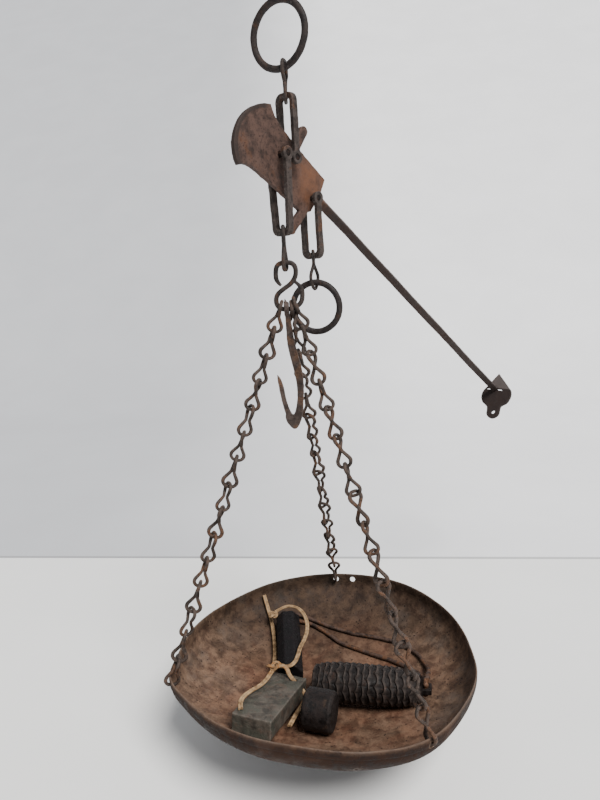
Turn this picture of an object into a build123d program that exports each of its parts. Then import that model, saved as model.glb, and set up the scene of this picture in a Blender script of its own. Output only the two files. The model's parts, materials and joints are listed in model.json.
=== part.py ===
from build123d import *
import math
import os

# A hand-forged steelyard. A flat beam head and a square beam rod hang by a shackle and a link
# from a holding ring. A second shackle below the head carries another ring, for turning the
# balance over. A load shackle carries an S-hook, from which a load hook and a dish on three
# wire chains hang. Loose weights lie in the dish, two of them tied with a leather lace.
#
# The origin is the spot inside the holding ring that is held, straight over the pivot that
# the beam hangs from. +Z is up, +X is right and +Y is away from the viewer. Sizes are in mm.

os.makedirs("parts", exist_ok=True)

# Clearances
link_gap = 0.25
bore_gap = 0.1
seat_gap = 0.05
side_gap = 0.3
lay_gap = 0.35
bend_slack = 0.05

# Holding ring
ring_wire = 4.2
ring_radius = 18.3
ring_yaw = 33
ring_shift = 2.4

# Link between the holding ring and the upper shackle
eye_wire = 2.4
eye_length = 22.1
eye_lower_shoulder = 5.4

# Beam: a flat fan-shaped head, forged out into a square rod that lies on its edge
beam_yaw = 45
head_thickness = 3.2
rod_side = 5.2
rod_start = (25.5, -25.0)
rod_length = 293.3
rod_slope = -35.6
rod_root = 13.0
tongue_width = 6.0
load_pivot = (-9.3, 1.4)
lower_pivot = (16.3, -23.2)
upper_tongue_tip = (12.7, 16.7)
lower_tongue_tip = (-2.5, -41.7)
pin_diameter = 3.5
pin_recess = 0.4

# End plate, square to the rod at its tip
end_plate_thickness = 2.6
end_hole = 3.8
end_notch = 1.6

# Shackles
eye_radius = 3.9
leg_thickness = 3.0
bar_width = 4.2
inner_corner = 2.0
upper_gap = 9.2
upper_reach = 33.75
upper_arch = 3.05
load_gap_at_pin = 12.2
load_gap_at_arch = 8.7
load_reach = 42.9
load_arch = 4.0
lower_gap = 10.0
lower_reach = 33.1
lower_arch = 4.0

# Link between the load shackle and the S-hook
load_link_wire = 2.6
load_link_length = 25.8

# S-hook
s_wire = 3.0
s_height = 27.4
s_upper_left = 5.0
s_upper_right = 6.2
s_upper_leg = 8.6
s_cut_end = 11.6
s_cut_lean = 0.6
s_shank_bend = 4.0
s_lower_radius = 6.7
s_lower_centre = -0.4
s_lower_leg = 9.7
s_tail = 14.2

# Load hook on the S-hook's lower bend
hook_place = -0.4
hook_eye_width = 3.2
hook_eye_wall = 2.1
hook_thickness = 3.0
hook_bore_gap = 0.6
hook_tip_rise = 7.0

# Twisted link and ring under the lower shackle
twist_wire = 2.2
twist_length = 24.05
twist_width = 7.7
big_ring_wire = 4.2
big_ring_radius = 16.05
big_ring_yaw = 20

# Chains of figure-of-eight wire links
chain_wire = 2.0
chain_links = 15
chain_loop = 7.5
chain_shoulder = 4.2
waist_gap = 0.5
waist_drop = 1.6
wire_end_gap = 0.3
bend_flat = 1.9
bar_bend = 2.0

# Dish
dish_centre = (5.5, -12.0)
dish_drop = 327.1
dish_tilt_away = 2.3
dish_tilt_right = 2.0
dish_radius = 103.5
dish_band = 5.2
dish_depth = 35.8
dish_wall = 1.2
rim_ledge = 0.6
rim_hole = 4.6
rim_hole_drop = 4.6
spare_hole_azimuth = 75
azimuths = {"left": 199, "rear": 83, "right": 302}
chain_places = {"left": -4.2, "rear": 2.8, "right": 5.2}

# Weights in the dish
poise_radius = 14.0
poise_length = 74.0
poise_start = (-10.5, -6.3)
poise_turn = -13.5
poise_rise = 3.4
poise_rows = 16
poise_row_depth = 1.1
poise_taper = 0.3
poise_gap = 0.95
lug_length = 8.5
lug_width = 8.0
lug_thickness = 4.0
bail_wire = 3.0
bail_bend_gap = 1.1
bail_end_bend = 2.2
bail_bend = 25.0
bar_across = 18.5
bar_length = 62.0
bar_gap = 0.8
block_length = 64.0
block_width = 26.5
block_thickness = 16.0
block_edge = 2.0
cylinder_diameter = 26.0
cylinder_length = 20.0
cylinder_edge = 1.5
cylinder_gap = 1.6
lace_width = 3.2
lace_hole_gap = 0.5


def direction(yaw):
    """A level unit vector, yaw degrees from +X towards +Y."""
    return Vector(math.cos(math.radians(yaw)), math.sin(math.radians(yaw)), 0)


def arc_radii(points, limits=None):
    """For each corner of a route, 0.45 of its shorter run over the tangent of half its turn."""
    spots = [Vector(*point) for point in points]
    radii = []
    for before, corner, after in zip(spots, spots[1:], spots[2:]):
        turn = (corner - before).get_angle(after - corner)
        run = min((corner - before).length, (after - corner).length)
        radii.append(0.45 * run / math.tan(math.radians(turn / 2)))
    if limits:
        radii = [min(radius, limit) for radius, limit in zip(radii, limits)]
    return radii


def wire_along(points, radii, diameter):
    """A round wire along straight runs joined by tangent arcs."""
    path = FilletPolyline(*points, radius=radii)
    section = Plane(origin=path @ 0, z_dir=path % 0) * Circle(diameter / 2)
    return sweep(section, path=path)


def ring(centre, yaw, radius, wire):
    """An upright ring of round wire, whose level diameter points along yaw."""
    return Plane(origin=centre, x_dir=direction(yaw), z_dir=direction(yaw + 90)) * Torus(radius, wire / 2)


def wire_link(wire, upper, lower, length, shoulders, waist, twist=0, bends=(None, None)):
    """A wire bent to two loops with a waist, hanging from its upper wire's centre at the origin.

    The upper loop lies in the XZ plane and the lower one is turned from it by twist degrees.
    upper and lower are the loops' half widths, all to the wire's centre line. A loop on round
    wire is bent nearly round, and one on a flat bar gets the radius given in bends.
    """
    upper_shoulder, lower_shoulder = shoulders
    half_gap = (wire + waist_gap) / 2
    waist_way = direction(twist / 2) * half_gap
    upper_way = Vector(upper, 0, 0)
    lower_way = direction(twist) * lower
    down = Vector(0, 0, -1)
    points = [
        waist_way * -1 + down * (waist - wire_end_gap / 2),
        upper_way * -1 + down * upper_shoulder,
        upper_way * -1,
        upper_way,
        upper_way + down * upper_shoulder,
        waist_way + down * waist,
        lower_way + down * (length - lower_shoulder),
        lower_way + down * length,
        lower_way * -1 + down * length,
        lower_way * -1 + down * (length - lower_shoulder),
        waist_way * -1 + down * (waist + wire_end_gap / 2),
    ]
    upper_bend = bends[0] or upper - bend_flat / 2
    lower_bend = bends[1] or lower - bend_flat / 2
    soft = 2 * wire
    limits = [soft, upper_bend, upper_bend, soft, soft, soft, lower_bend, lower_bend, soft]
    radii = arc_radii([tuple(point) for point in points], limits)
    for corner in (1, 2):
        radii[corner] = upper_bend
    for corner in (6, 7):
        radii[corner] = lower_bend
    return wire_along([tuple(point) for point in points], radii, wire)


def shackle(pivot, way, gap_at_pin, gap_at_arch, reach, arch):
    """A flat-iron U whose two eyes turn on a pin. way is 1 for an arch above the pin, else -1."""
    plane = Plane(origin=pivot, x_dir=across, z_dir=along * -way)
    pin_half = gap_at_pin / 2
    arch_half = gap_at_arch / 2
    outside = FilletPolyline(
        (-pin_half - leg_thickness, 0),
        (-arch_half - leg_thickness, reach + arch),
        (arch_half + leg_thickness, reach + arch),
        (pin_half + leg_thickness, 0),
        radius=inner_corner + leg_thickness,
    )
    inside = FilletPolyline(
        (-pin_half, 0), (-arch_half, reach), (arch_half, reach), (pin_half, 0), radius=inner_corner
    )
    feet = [Line(outside @ 0, inside @ 0), Line(outside @ 1, inside @ 1)]
    body = extrude(plane * make_face(outside.edges() + inside.edges() + feet), bar_width / 2, both=True)
    turned = Plane(origin=pivot, x_dir=along, z_dir=across)
    for side in (-1, 1):
        place = Pos(0, 0, side * (pin_half + leg_thickness / 2))
        body += turned * place * Cylinder(eye_radius, leg_thickness)
    return body - turned * Cylinder(pin_diameter / 2 + bore_gap, gap_at_pin + 4 * leg_thickness)


def pin(pivot, gap_at_pin):
    """A round pin that ends a little inside the shackle's eyes."""
    length = gap_at_pin + 2 * leg_thickness - 2 * pin_recess
    return Plane(origin=pivot, x_dir=along, z_dir=across) * Cylinder(pin_diameter / 2, length)


def bored(place, length):
    """The bore of a pin that is driven into the head."""
    return place * Cylinder(pin_diameter / 2 + seat_gap, length)


def floor_level(x, y, thickness=0.0):
    """Height of the dish's inside, or of a layer of some thickness on it, in the dish's frame."""
    inner_radius = dish_radius - dish_wall - thickness
    inner_depth = dish_depth - dish_wall - thickness
    share = (x * x + y * y) / inner_radius**2
    return -dish_band - inner_depth * math.sqrt(max(0.0, 1 - share))


def save(shape, name):
    export_step(shape, f"parts/{name}.step")


# Directions: along the beam, and across it towards the viewer
along = direction(beam_yaw)
across = direction(beam_yaw - 90)
up = Vector(0, 0, 1)

# Holding ring. It is held over the plumb line, a little beside its own top.
inner_ring_radius = ring_radius - ring_wire / 2
ring_centre = direction(-ring_yaw) * -ring_shift - up * math.sqrt(inner_ring_radius**2 - ring_shift**2)
hand_ring = ring(ring_centre, -ring_yaw, ring_radius, ring_wire)
save(hand_ring, "hand_ring")
ring_low = ring_centre.Z - math.sqrt(ring_radius**2 - ring_shift**2)

# Link on the ring: its loops stand in the YZ plane
eye_top = ring_low + (ring_wire + eye_wire) / 2 + link_gap
eye_bottom = eye_top - eye_length
eye_upper = (ring_wire + eye_wire + 2 * side_gap) / 2 / math.cos(math.radians(ring_yaw))
eye_lower = (bar_width + eye_wire + 2 * side_gap) / 2 / math.cos(math.radians(beam_yaw))
eye_upper_shoulder = ring_wire + eye_wire + 2 * side_gap
eye_link = wire_link(
    eye_wire,
    eye_upper,
    eye_lower,
    eye_length,
    (eye_upper_shoulder, eye_lower_shoulder),
    (eye_upper_shoulder + eye_length - eye_lower_shoulder) / 2,
    bends=(None, bar_bend),
)
save(Pos(0, 0, eye_top) * Rot(0, 0, 90) * eye_link, "eye_link")

# Upper shackle, which carries the beam on its pin
upper_pivot_z = eye_bottom + eye_wire / 2 + link_gap - upper_reach
pivot_1 = Vector(0, 0, upper_pivot_z)
save(shackle(pivot_1, 1, upper_gap, upper_gap, upper_reach, upper_arch), "top_shackle")


def on_beam(spot):
    """A point given along and above the upper pivot, in the beam's plane."""
    return pivot_1 + along * spot[0] + up * spot[1]


pivot_2 = on_beam(load_pivot)
pivot_3 = on_beam(lower_pivot)
beam_plane = Plane(origin=pivot_1, x_dir=along, z_dir=across)


def tongue(root, tip):
    """A flat tongue of the head, round at both ends."""
    run = Vector(*tip) - Vector(*root)
    middle = (Vector(*tip) + Vector(*root)) * 0.5
    bar = SlotCenterToCenter(run.length, tongue_width, rotation=math.degrees(math.atan2(run.Y, run.X)))
    return Pos(middle.X, middle.Y) * bar


def beam_head():
    """The fan: a round back, a throat above, and a belly cut in below."""
    back = Spline((-41.7, -6.2), (-43.5, 7.6), (-35.9, 20.8), (-24.8, 27.4), (-18.6, 28.9))
    top = Line((-18.6, 28.9), (-13.5, 29.0))
    throat = Spline((-13.5, 29.0), (-11.6, 23.6), (-9.1, 20.0), (-4.7, 15.5))
    shoulder = Line((-4.7, 15.5), (29.5, -11.2))
    front = Polyline((29.5, -11.2), (24.5, -20.0), (14.8, -31.0), (4.9, -30.1), (-20.4, -13.5))
    belly = Spline((-20.4, -13.5), (-27.8, -8.9), (-37.2, -5.4), (-41.7, -6.2))
    face = make_face(Curve() + [back, top, throat, shoulder, front, belly])
    face += tongue((0, 0), upper_tongue_tip)
    face += tongue(lower_pivot, lower_tongue_tip)
    return extrude(beam_plane * face, head_thickness / 2, both=True)


# Rod: a square bar on its edge that thins into the head
rod_way = along * math.cos(math.radians(rod_slope)) + up * math.sin(math.radians(rod_slope))
rod_begin = on_beam(rod_start)
rod_end = rod_begin + rod_way * rod_length
rod_plane = Plane(origin=rod_begin, x_dir=across, z_dir=rod_way)
rod = extrude(rod_plane * Rectangle(rod_side, rod_side, rotation=45), rod_length)
root_plane = Plane(origin=rod_begin - rod_way * rod_root, x_dir=across, z_dir=rod_way)
thin = head_thickness / 2 - side_gap
root_section = root_plane * Polygon((-thin, 0), (0, -rod_side), (thin, 0), (0, rod_side), align=None)
half_diagonal = rod_side / math.sqrt(2)
rod_section = rod_plane * Polygon(
    (-half_diagonal, 0), (0, -half_diagonal), (half_diagonal, 0), (0, half_diagonal), align=None
)
rod_taper = loft([root_section, rod_section], ruled=True)
beam = beam_head() + rod_taper + rod
pins = {
    "fulcrum_pin_upper": (pivot_1, upper_gap),
    "load_pin": (pivot_2, load_gap_at_pin),
    "fulcrum_pin_lower": (pivot_3, lower_gap),
}
for name, (pivot, gap) in pins.items():
    beam -= bored(Plane(origin=pivot, x_dir=along, z_dir=across), 2 * head_thickness)
    save(pin(pivot, gap), name)
save(beam, "beam")

# End plate, threaded over the rod's tip. In its plane, x is across and y is up.
end_plane = Plane(origin=rod_end, x_dir=across, z_dir=rod_way * -1)


def end_plate_face():
    corner = (-0.3, 16.8)
    near = ThreePointArc((15.6, 2.0), (18.2, -5.0), (15.6, -13.4))
    neck = Polyline((15.6, -13.4), (11.4, -16.8), (11.9, -22.5))
    eyelet = ThreePointArc((11.9, -22.5), (6.4, -30.0), (-0.6, -23.5))
    back = Polyline((-0.6, -23.5), (-1.7, -19.0), (-7.8, -14.9))
    far = ThreePointArc((-7.8, -14.9), (-11.3, -6.5), (-8.3, 1.9))
    sides = [Line(corner, near @ 0), near, neck, eyelet, back, far, Line(far @ 1, corner)]
    face = make_face(Curve() + sides)
    face -= Pos(6.0, -23.6) * Circle(end_hole / 2)
    socket = Rectangle(rod_side + 2 * seat_gap, rod_side + 2 * seat_gap, rotation=45)
    for side in (-1, 1):
        place = side * (half_diagonal + end_notch)
        socket += Pos(place, 0) * Rectangle(2 * end_notch + rod_side / 2, end_notch)
    return face - socket


save(extrude(end_plane * end_plate_face(), end_plate_thickness), "end_plate")

# Load shackle and lower shackle
load_shackle = shackle(pivot_2, -1, load_gap_at_pin, load_gap_at_arch, load_reach, load_arch)
save(load_shackle, "load_shackle")
save(shackle(pivot_3, -1, lower_gap, lower_gap, lower_reach, lower_arch), "second_shackle")

# Link under the load shackle
load_top = pivot_2.Z - load_reach + load_link_wire / 2 + link_gap
load_bottom = load_top - load_link_length
load_link_upper = (bar_width + load_link_wire + 2 * side_gap) / 2 / math.cos(math.radians(beam_yaw))
load_link_lower = (s_wire + load_link_wire) / 2 + 2 * side_gap
load_link_shoulder = load_arch + load_link_wire + 2 * side_gap
load_link = wire_link(
    load_link_wire,
    load_link_upper,
    load_link_lower,
    load_link_length,
    (load_link_shoulder, 2 * load_link_wire),
    load_link_shoulder + waist_drop * load_link_wire,
    bends=(bar_bend, None),
)
save(Pos(pivot_2.X, pivot_2.Y, load_top) * Rot(0, 0, 90) * load_link, "load_link")

# S-hook, flat in the XZ plane
s_top = load_bottom + (load_link_wire + s_wire) / 2 + link_gap
s_bottom = s_top - s_height
s_left = s_lower_centre - s_lower_radius
s_right = s_lower_centre + s_lower_radius
s_points = [
    (s_cut_lean - s_upper_left, -s_cut_end),
    (-s_upper_left, 0),
    (s_upper_right, 0),
    (s_upper_right, -s_upper_leg),
    (s_left, s_lower_leg - s_height),
    (s_left, -s_height),
    (s_right, -s_height),
    (s_right, s_tail - s_height),
]
s_upper_bend = (s_upper_left + s_upper_right) / 2 - bend_slack
s_lower_bend = s_lower_radius - bend_slack
s_limits = [s_upper_bend] * 2 + [s_shank_bend] * 2 + [s_lower_bend] * 2
s_radii = arc_radii([(x, 0, z) for x, z in s_points], s_limits)
s_radii[0] = s_radii[1] = s_upper_bend
s_radii[4] = s_radii[5] = s_lower_bend
s_hook = wire_along([(x, 0, z) for x, z in s_points], s_radii, s_wire)
save(Pos(pivot_2.X, pivot_2.Y, s_top) * s_hook, "s_hook")
s_bend_centre = Vector(pivot_2.X + s_lower_centre, pivot_2.Y, s_bottom + s_lower_radius)


def on_s_bend(offset):
    """The S-hook's lower bend at a level distance from its middle: its centre line and its way."""
    drop = math.sqrt(s_lower_radius**2 - offset**2)
    spot = s_bend_centre + Vector(offset, 0, -drop)
    return spot, Vector(drop, 0, offset) * (1 / s_lower_radius)


# Load hook: an eye round the S-hook, a shank and a broad bend with a pointed end
hook_pivot = Vector(s_bend_centre.X + hook_place, pivot_2.Y, s_bottom)


def load_hook():
    eye_inner = s_wire / 2 + hook_bore_gap
    eye_outer = eye_inner + hook_eye_wall
    outer = Spline(
        (1.9, -3.4), (2.9, -13.6), (3.9, -22.2), (5.2, -29.3), (6.9, -37.6), (7.7, -46.5), (7.5, -55.3)
    )
    bottom = Spline((7.5, -55.3), (6.6, -64.5), (4.6, -73.4), (0.4, -78.8), (-3.0, -76.4), (-5.2, -69.0))
    arm = Spline((-5.2, -69.0), (-7.0, -60.0), (-8.3, -51.0), (-9.1, -42.0))
    inner = Spline(
        (-9.1, -42.0), (-6.4, -46.2), (-4.7, -55.6), (-3.0, -63.7), (-0.3, -69.5), (1.9, -64.6), (3.1, -56.5)
    )
    shank = Spline(
        (3.1, -56.5), (3.1, -47.8), (1.8, -39.5), (0.2, -31.2), (-0.9, -24.1), (-1.2, -15.5), (-1.2, -3.4)
    )
    profile = make_face(Curve() + [outer, bottom, arm, inner, shank, Line((-1.2, -3.4), (1.9, -3.4))])
    flat = extrude(Plane.XZ * profile, hook_thickness / 2, both=True)
    barrel = Rot(0, 90, 0) * Cylinder(eye_outer, hook_eye_width)
    tip = extrude(
        Plane.XZ * Polygon((-1.6, eye_inner), (1.5, eye_inner), (-0.9, hook_tip_rise), align=None),
        hook_eye_wall / 2,
        both=True,
    )
    return flat + barrel + tip - Rot(0, 90, 0) * Cylinder(eye_inner, 3 * hook_eye_width)


save(Pos(hook_pivot.X, hook_pivot.Y, hook_pivot.Z) * load_hook(), "load_hook")

# Twisted link and large ring under the lower shackle
twist_top = pivot_3.Z - lower_reach + twist_wire / 2 + link_gap
twist_shoulder = lower_arch + twist_wire + 2 * side_gap
twisted_link = wire_link(
    twist_wire,
    twist_width / 2,
    twist_width / 2,
    twist_length,
    (twist_shoulder, big_ring_wire + twist_wire),
    twist_shoulder + waist_drop * twist_wire,
    90 - big_ring_yaw - beam_yaw,
    bends=(bar_bend, None),
)
save(Pos(pivot_3.X, pivot_3.Y, twist_top) * Rot(0, 0, beam_yaw) * twisted_link, "twisted_link")
big_ring_top = twist_top - twist_length + (twist_wire + big_ring_wire) / 2 + link_gap
big_ring_centre = Vector(pivot_3.X, pivot_3.Y, big_ring_top - big_ring_radius)
save(ring(big_ring_centre, -big_ring_yaw, big_ring_radius, big_ring_wire), "lower_ring")

# Dish, spun from sheet with a thicker band at its rim
dish_place = Pos(*dish_centre, upper_pivot_z - dish_drop) * Rot(-dish_tilt_away, dish_tilt_right, 0)


def dish():
    outer_radius = dish_radius - rim_ledge
    inner_radius = dish_radius - dish_wall
    centre = (0, -dish_band)
    outside = EllipticalCenterArc(centre, outer_radius, dish_depth, start_angle=270, arc_size=90)
    inside = EllipticalCenterArc(centre, inner_radius, dish_depth - dish_wall, start_angle=270, arc_size=90)
    wall = make_face(
        Curve()
        + [
            outside,
            inside,
            Line(outside @ 0, inside @ 0),
            Polyline(
                outside @ 1, (dish_radius, -dish_band), (dish_radius, 0), (inner_radius, 0), inside @ 1
            ),
        ]
    )
    shell = revolve(Plane.XZ * wall, Axis.Z)
    for azimuth in [*azimuths.values(), spare_hole_azimuth]:
        bore = Pos(dish_radius, 0, -rim_hole_drop) * Rot(0, 90, 0) * Cylinder(rim_hole / 2, 2 * dish_band)
        shell -= Rot(0, 0, azimuth) * bore
    return dish_place * shell


save(dish(), "pan")


def chain(name):
    """Equal links from the S-hook's bend to a hole in the rim, each turned a little more."""
    spot, way = on_s_bend(chain_places[name])
    outward = Vector(*(dish_place * Rot(0, 0, azimuths[name]) * Pos(1, 0, 0)).position) - Vector(
        *dish_place.position
    )
    drop = rim_hole_drop - (rim_hole - chain_wire) / 2 + 2 * link_gap
    middle = dish_radius - dish_wall / 2
    foot = Vector(*(dish_place * Rot(0, 0, azimuths[name]) * Pos(middle, 0, -drop)).position)
    rise = (spot - foot).normalized()
    side = (Vector(0, 1, 0) - rise * rise.Y).normalized()
    lift = (s_wire + chain_wire) / 2 + 2 * side_gap
    seat = lift / abs(rise.dot(way.cross(side)))
    top = spot + rise * seat
    overlap = chain_wire + link_gap
    pitch = ((top - foot).length - overlap) / chain_links
    link = wire_link(
        chain_wire,
        chain_loop / 2,
        chain_loop / 2,
        pitch + overlap,
        (chain_shoulder, chain_shoulder),
        (pitch + overlap) / 2,
        90,
    )
    last = (outward - rise * outward.dot(rise)).normalized()
    across_last = rise.cross(side)
    turn = math.degrees(math.atan2(last.dot(side * -1), last.dot(across_last)))
    turn = (turn + 90) % 180 - 90
    print(name, "chain: length", round((top - foot).length, 1), "pitch", round(pitch, 2), "turn", round(turn))
    first = Plane(origin=top, x_dir=side, z_dir=rise)
    links = []
    for count in range(chain_links):
        place = Pos(0, 0, -pitch * count) * Rot(0, 0, turn * count / (chain_links - 1))
        links.append(first.location * place * link)
    return Compound(children=links)


for name in azimuths:
    save(chain(name), f"chain_{name}")


def in_dish(shape):
    return dish_place * shape


def poise():
    """A cast poise with overlapping rows like a cone's scales, and a bored lug at its end."""
    row = poise_length / poise_rows
    outline = [(0, 0)]
    for count in range(poise_rows):
        middle = (count + 0.5) / poise_rows
        radius = poise_radius * (1 - poise_taper * (2 * middle - 1) ** 6)
        outline.append((radius, count * row))
        outline.append((radius - poise_row_depth, (count + 1) * row))
    outline.append((0, poise_length))
    body = revolve(Plane.XZ * make_face(Polyline(*outline, close=True)), Axis.Z)
    lug = Pos(0, 0, poise_length + lug_length / 2) * Box(lug_thickness, lug_width, lug_length)
    end = Pos(0, 0, poise_length + lug_length - lug_width / 2)
    return body + lug - end * Rot(0, 90, 0) * Cylinder(bail_wire / 2 + 2 * side_gap, 4 * lug_thickness)


poise_foot = floor_level(*poise_start) + poise_radius + poise_gap
poise_place = Pos(*poise_start, poise_foot) * Rot(0, 0, poise_turn) * Rot(0, 90 - poise_rise, 0)
save(in_dish(poise_place * poise()), "poise")
lug_hole = (poise_place * Pos(0, 0, poise_length + lug_length - lug_width / 2)).position
lug_clear = (lug_thickness + bail_wire) / 2 + bail_bend_gap

# Bail: a long loop of wire through the lug, lying along the dish's side
bail_upper = [(71.5, -8, 9), (74, 8, 0.6), (70, 26, 0.4), (58.5, 42, 0.4), (43, 51.5, 0.6), (25, 59, 0.6)]
bail_upper += [(6, 68, 0.5), (-12, 76.5, 0.5), (-25.5, 80.5, 0.5)]
bail_lower = [(-25.5, 74, 0.5), (-11, 71.6, 0.8), (1, 63.2, 0.5), (12.5, 51.2, 0.5), (33, 38, 0.5)]
bail_lower += [(49.5, 26.5, 0.5), (62.5, 12, 0.5), (69, -6, 4)]


def on_floor(spots, thickness):
    """Points over the dish's inside, each lifted by its own gap."""
    return [(x, y, floor_level(x, y, thickness / 2) + gap) for x, y, gap in spots]


bail_points = [(lug_hole.X, lug_hole.Y, lug_hole.Z), (lug_hole.X, lug_hole.Y, lug_hole.Z + lug_clear)]
bail_points += on_floor(bail_upper + bail_lower, bail_wire)
bail_points += [
    (lug_hole.X, lug_hole.Y, lug_hole.Z - lug_clear),
    (lug_hole.X, lug_hole.Y, lug_hole.Z - wire_end_gap),
]
bail_limits = [bail_end_bend] + [bail_bend] * (len(bail_points) - 4) + [bail_end_bend]
bail_radii = arc_radii(bail_points, bail_limits)
print("bail radii", [round(radius, 1) for radius in bail_radii])
save(in_dish(wire_along(bail_points, bail_radii, bail_wire)), "poise_bail")


def lying(start, end, rest):
    """A place whose Z axis runs from start to end in the dish, rest above its inside."""
    heights = [floor_level(*spot) + rest for spot in (start, end)]
    first = Vector(*start, heights[0])
    second = Vector(*end, heights[1])
    way = second - first
    return Plane(origin=first, x_dir=way.cross(up), z_dir=way), way.length


# Octagonal bar, leaning up the dish's far side
bar_plane = lying((-26.5, 4.0), (-29.7, 65.5), bar_across / 2 + bar_gap)[0]
bar_section = RegularPolygon(bar_across / 2, 8, major_radius=False, rotation=22.5)
bar_weight = extrude(bar_section, bar_length)
save(in_dish(bar_plane.location * bar_weight), "bar_weight")

# Block: x runs along it from its far end, y is to its right as the viewer sees it, z is up
block_far = Vector(-27.3, -3.7, -21.4)
block_near = Vector(-49.6, -64.4, -8.4)
block_way = (block_near - block_far).normalized()
block_side = block_way.cross(up).normalized() * -1
block_plane = Plane(origin=block_far, x_dir=block_way, z_dir=block_way.cross(block_side))


def block(hole_start, hole_end):
    solid = Pos(block_length / 2, 0, -block_thickness / 2) * Box(block_length, block_width, block_thickness)
    solid = chamfer(solid.edges().group_by(Axis.Z)[0], 2 * block_edge)
    solid = block_plane.location * solid
    way = hole_end - hole_start
    bore = Plane(origin=(hole_start + hole_end) * 0.5, z_dir=way)
    return solid - bore.location * Cylinder(lace_width / 2 + lace_hole_gap, 2 * way.length)


hole_start = Vector(-27.0, -9.8, -18.4)
hole_end = Vector(-14.9, -15.0, -29.6)
save(in_dish(block(hole_start, hole_end)), "block_weight")

# Short cylinder on its side
cylinder_middle = (-6.5, -40.0)
cylinder_turn = -17
cylinder_rest = floor_level(*cylinder_middle) + cylinder_diameter / 2 + cylinder_gap
cylinder_weight = Cylinder(cylinder_diameter / 2, cylinder_length)
cylinder_weight = chamfer(cylinder_weight.edges().filter_by(GeomType.CIRCLE), cylinder_edge)
cylinder_place = Pos(*cylinder_middle, cylinder_rest) * Rot(0, 0, cylinder_turn) * Rot(0, 90, 0)
save(in_dish(cylinder_place * cylinder_weight), "cylinder_weight")

# Leather lace: one piece round the bar, one through the block's hole. Points are in the dish's frame.
lace_loop_points = [
    (-50.1, 85.6, -8.4),
    (-47.2, 80.2, -16.0),
    (-43.6, 70.0, -22.6),
    (-41.0, 56.0, -27.0),
    (-39.6, 41.0, -29.6),
    (-39.2, 26.0, -30.0),
    (-39.4, 14.0, -26.6),
    (-37.6, 5.6, -20.6),
    (-32.0, 0.0, -17.8),
    (-26.6, -1.0, -17.0),
    (-22.6, 3.6, -16.4),
    (-20.8, 12.0, -16.6),
    (-19.4, 22.0, -17.0),
    (-16.0, 34.0, -18.2),
    (-13.6, 45.5, -17.4),
    (-14.0, 56.5, -14.6),
    (-18.2, 65.4, -11.6),
    (-25.0, 70.6, -10.6),
    (-33.0, 71.0, -11.0),
    (-40.0, 66.8, -13.6),
]
lace_tie_points = [
    (-56.2, -55.4, -8.2),
    (-57.4, -48.6, -8.6),
    (-55.6, -41.0, -9.8),
    (-51.2, -33.6, -11.6),
    (-45.4, -26.0, -13.2),
    (-41.8, -17.6, -14.6),
    (-38.6, -9.6, -13.6),
    (-33.4, -5.2, -12.4),
    (-28.6, -7.0, -13.6),
    (-27.0, -9.8, -18.4),
    (-14.9, -15.0, -29.6),
    (-14.6, -21.4, -31.0),
    (-17.4, -30.0, -30.6),
    (-21.6, -38.6, -30.2),
    (-26.2, -47.0, -29.8),
]


def lace(points, name):
    radii = arc_radii(points)
    path = FilletPolyline(*points, radius=radii)
    body = wire_along(points, radii, lace_width)
    section = math.pi * lace_width**2 / 4
    print(name, "length", round(path.length, 1), "volume share", round(body.volume / (section * path.length), 4))
    print(name, "radii", [round(radius, 1) for radius in radii])
    save(in_dish(body), name)


lace(lace_loop_points, "lace_loop")
lace(lace_tie_points, "lace_tie")
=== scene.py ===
import json
import math

import bmesh
import bpy
from mathutils import Matrix, Vector, noise


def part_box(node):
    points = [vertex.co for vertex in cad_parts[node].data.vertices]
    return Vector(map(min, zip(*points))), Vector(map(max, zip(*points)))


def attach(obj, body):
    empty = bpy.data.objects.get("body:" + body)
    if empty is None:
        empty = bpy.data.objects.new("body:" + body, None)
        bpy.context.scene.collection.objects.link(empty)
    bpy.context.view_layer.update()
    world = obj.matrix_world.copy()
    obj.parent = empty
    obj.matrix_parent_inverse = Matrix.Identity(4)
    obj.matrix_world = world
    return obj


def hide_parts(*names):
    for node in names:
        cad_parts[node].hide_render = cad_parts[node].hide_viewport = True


# A rusted hand steelyard with a chained dish of loose weights. Sizes are in mm until they are
# multiplied by MM, and every place is in the frame of the CAD model.

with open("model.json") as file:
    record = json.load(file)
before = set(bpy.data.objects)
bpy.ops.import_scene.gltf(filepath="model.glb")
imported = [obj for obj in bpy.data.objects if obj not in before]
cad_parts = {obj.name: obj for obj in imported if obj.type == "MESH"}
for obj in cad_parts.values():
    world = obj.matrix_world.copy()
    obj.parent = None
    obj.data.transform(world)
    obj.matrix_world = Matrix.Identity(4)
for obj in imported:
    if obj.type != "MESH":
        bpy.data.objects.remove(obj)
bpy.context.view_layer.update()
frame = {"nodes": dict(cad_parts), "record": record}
MM = 0.001
record = frame["record"]
body_of = {node: body for body, nodes in record["behaviour"]["bodies"].items() for node in nodes}
slot_of = {part["node"]: part["material_slot"] for part in record["subparts"]}


# Material helpers


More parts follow.
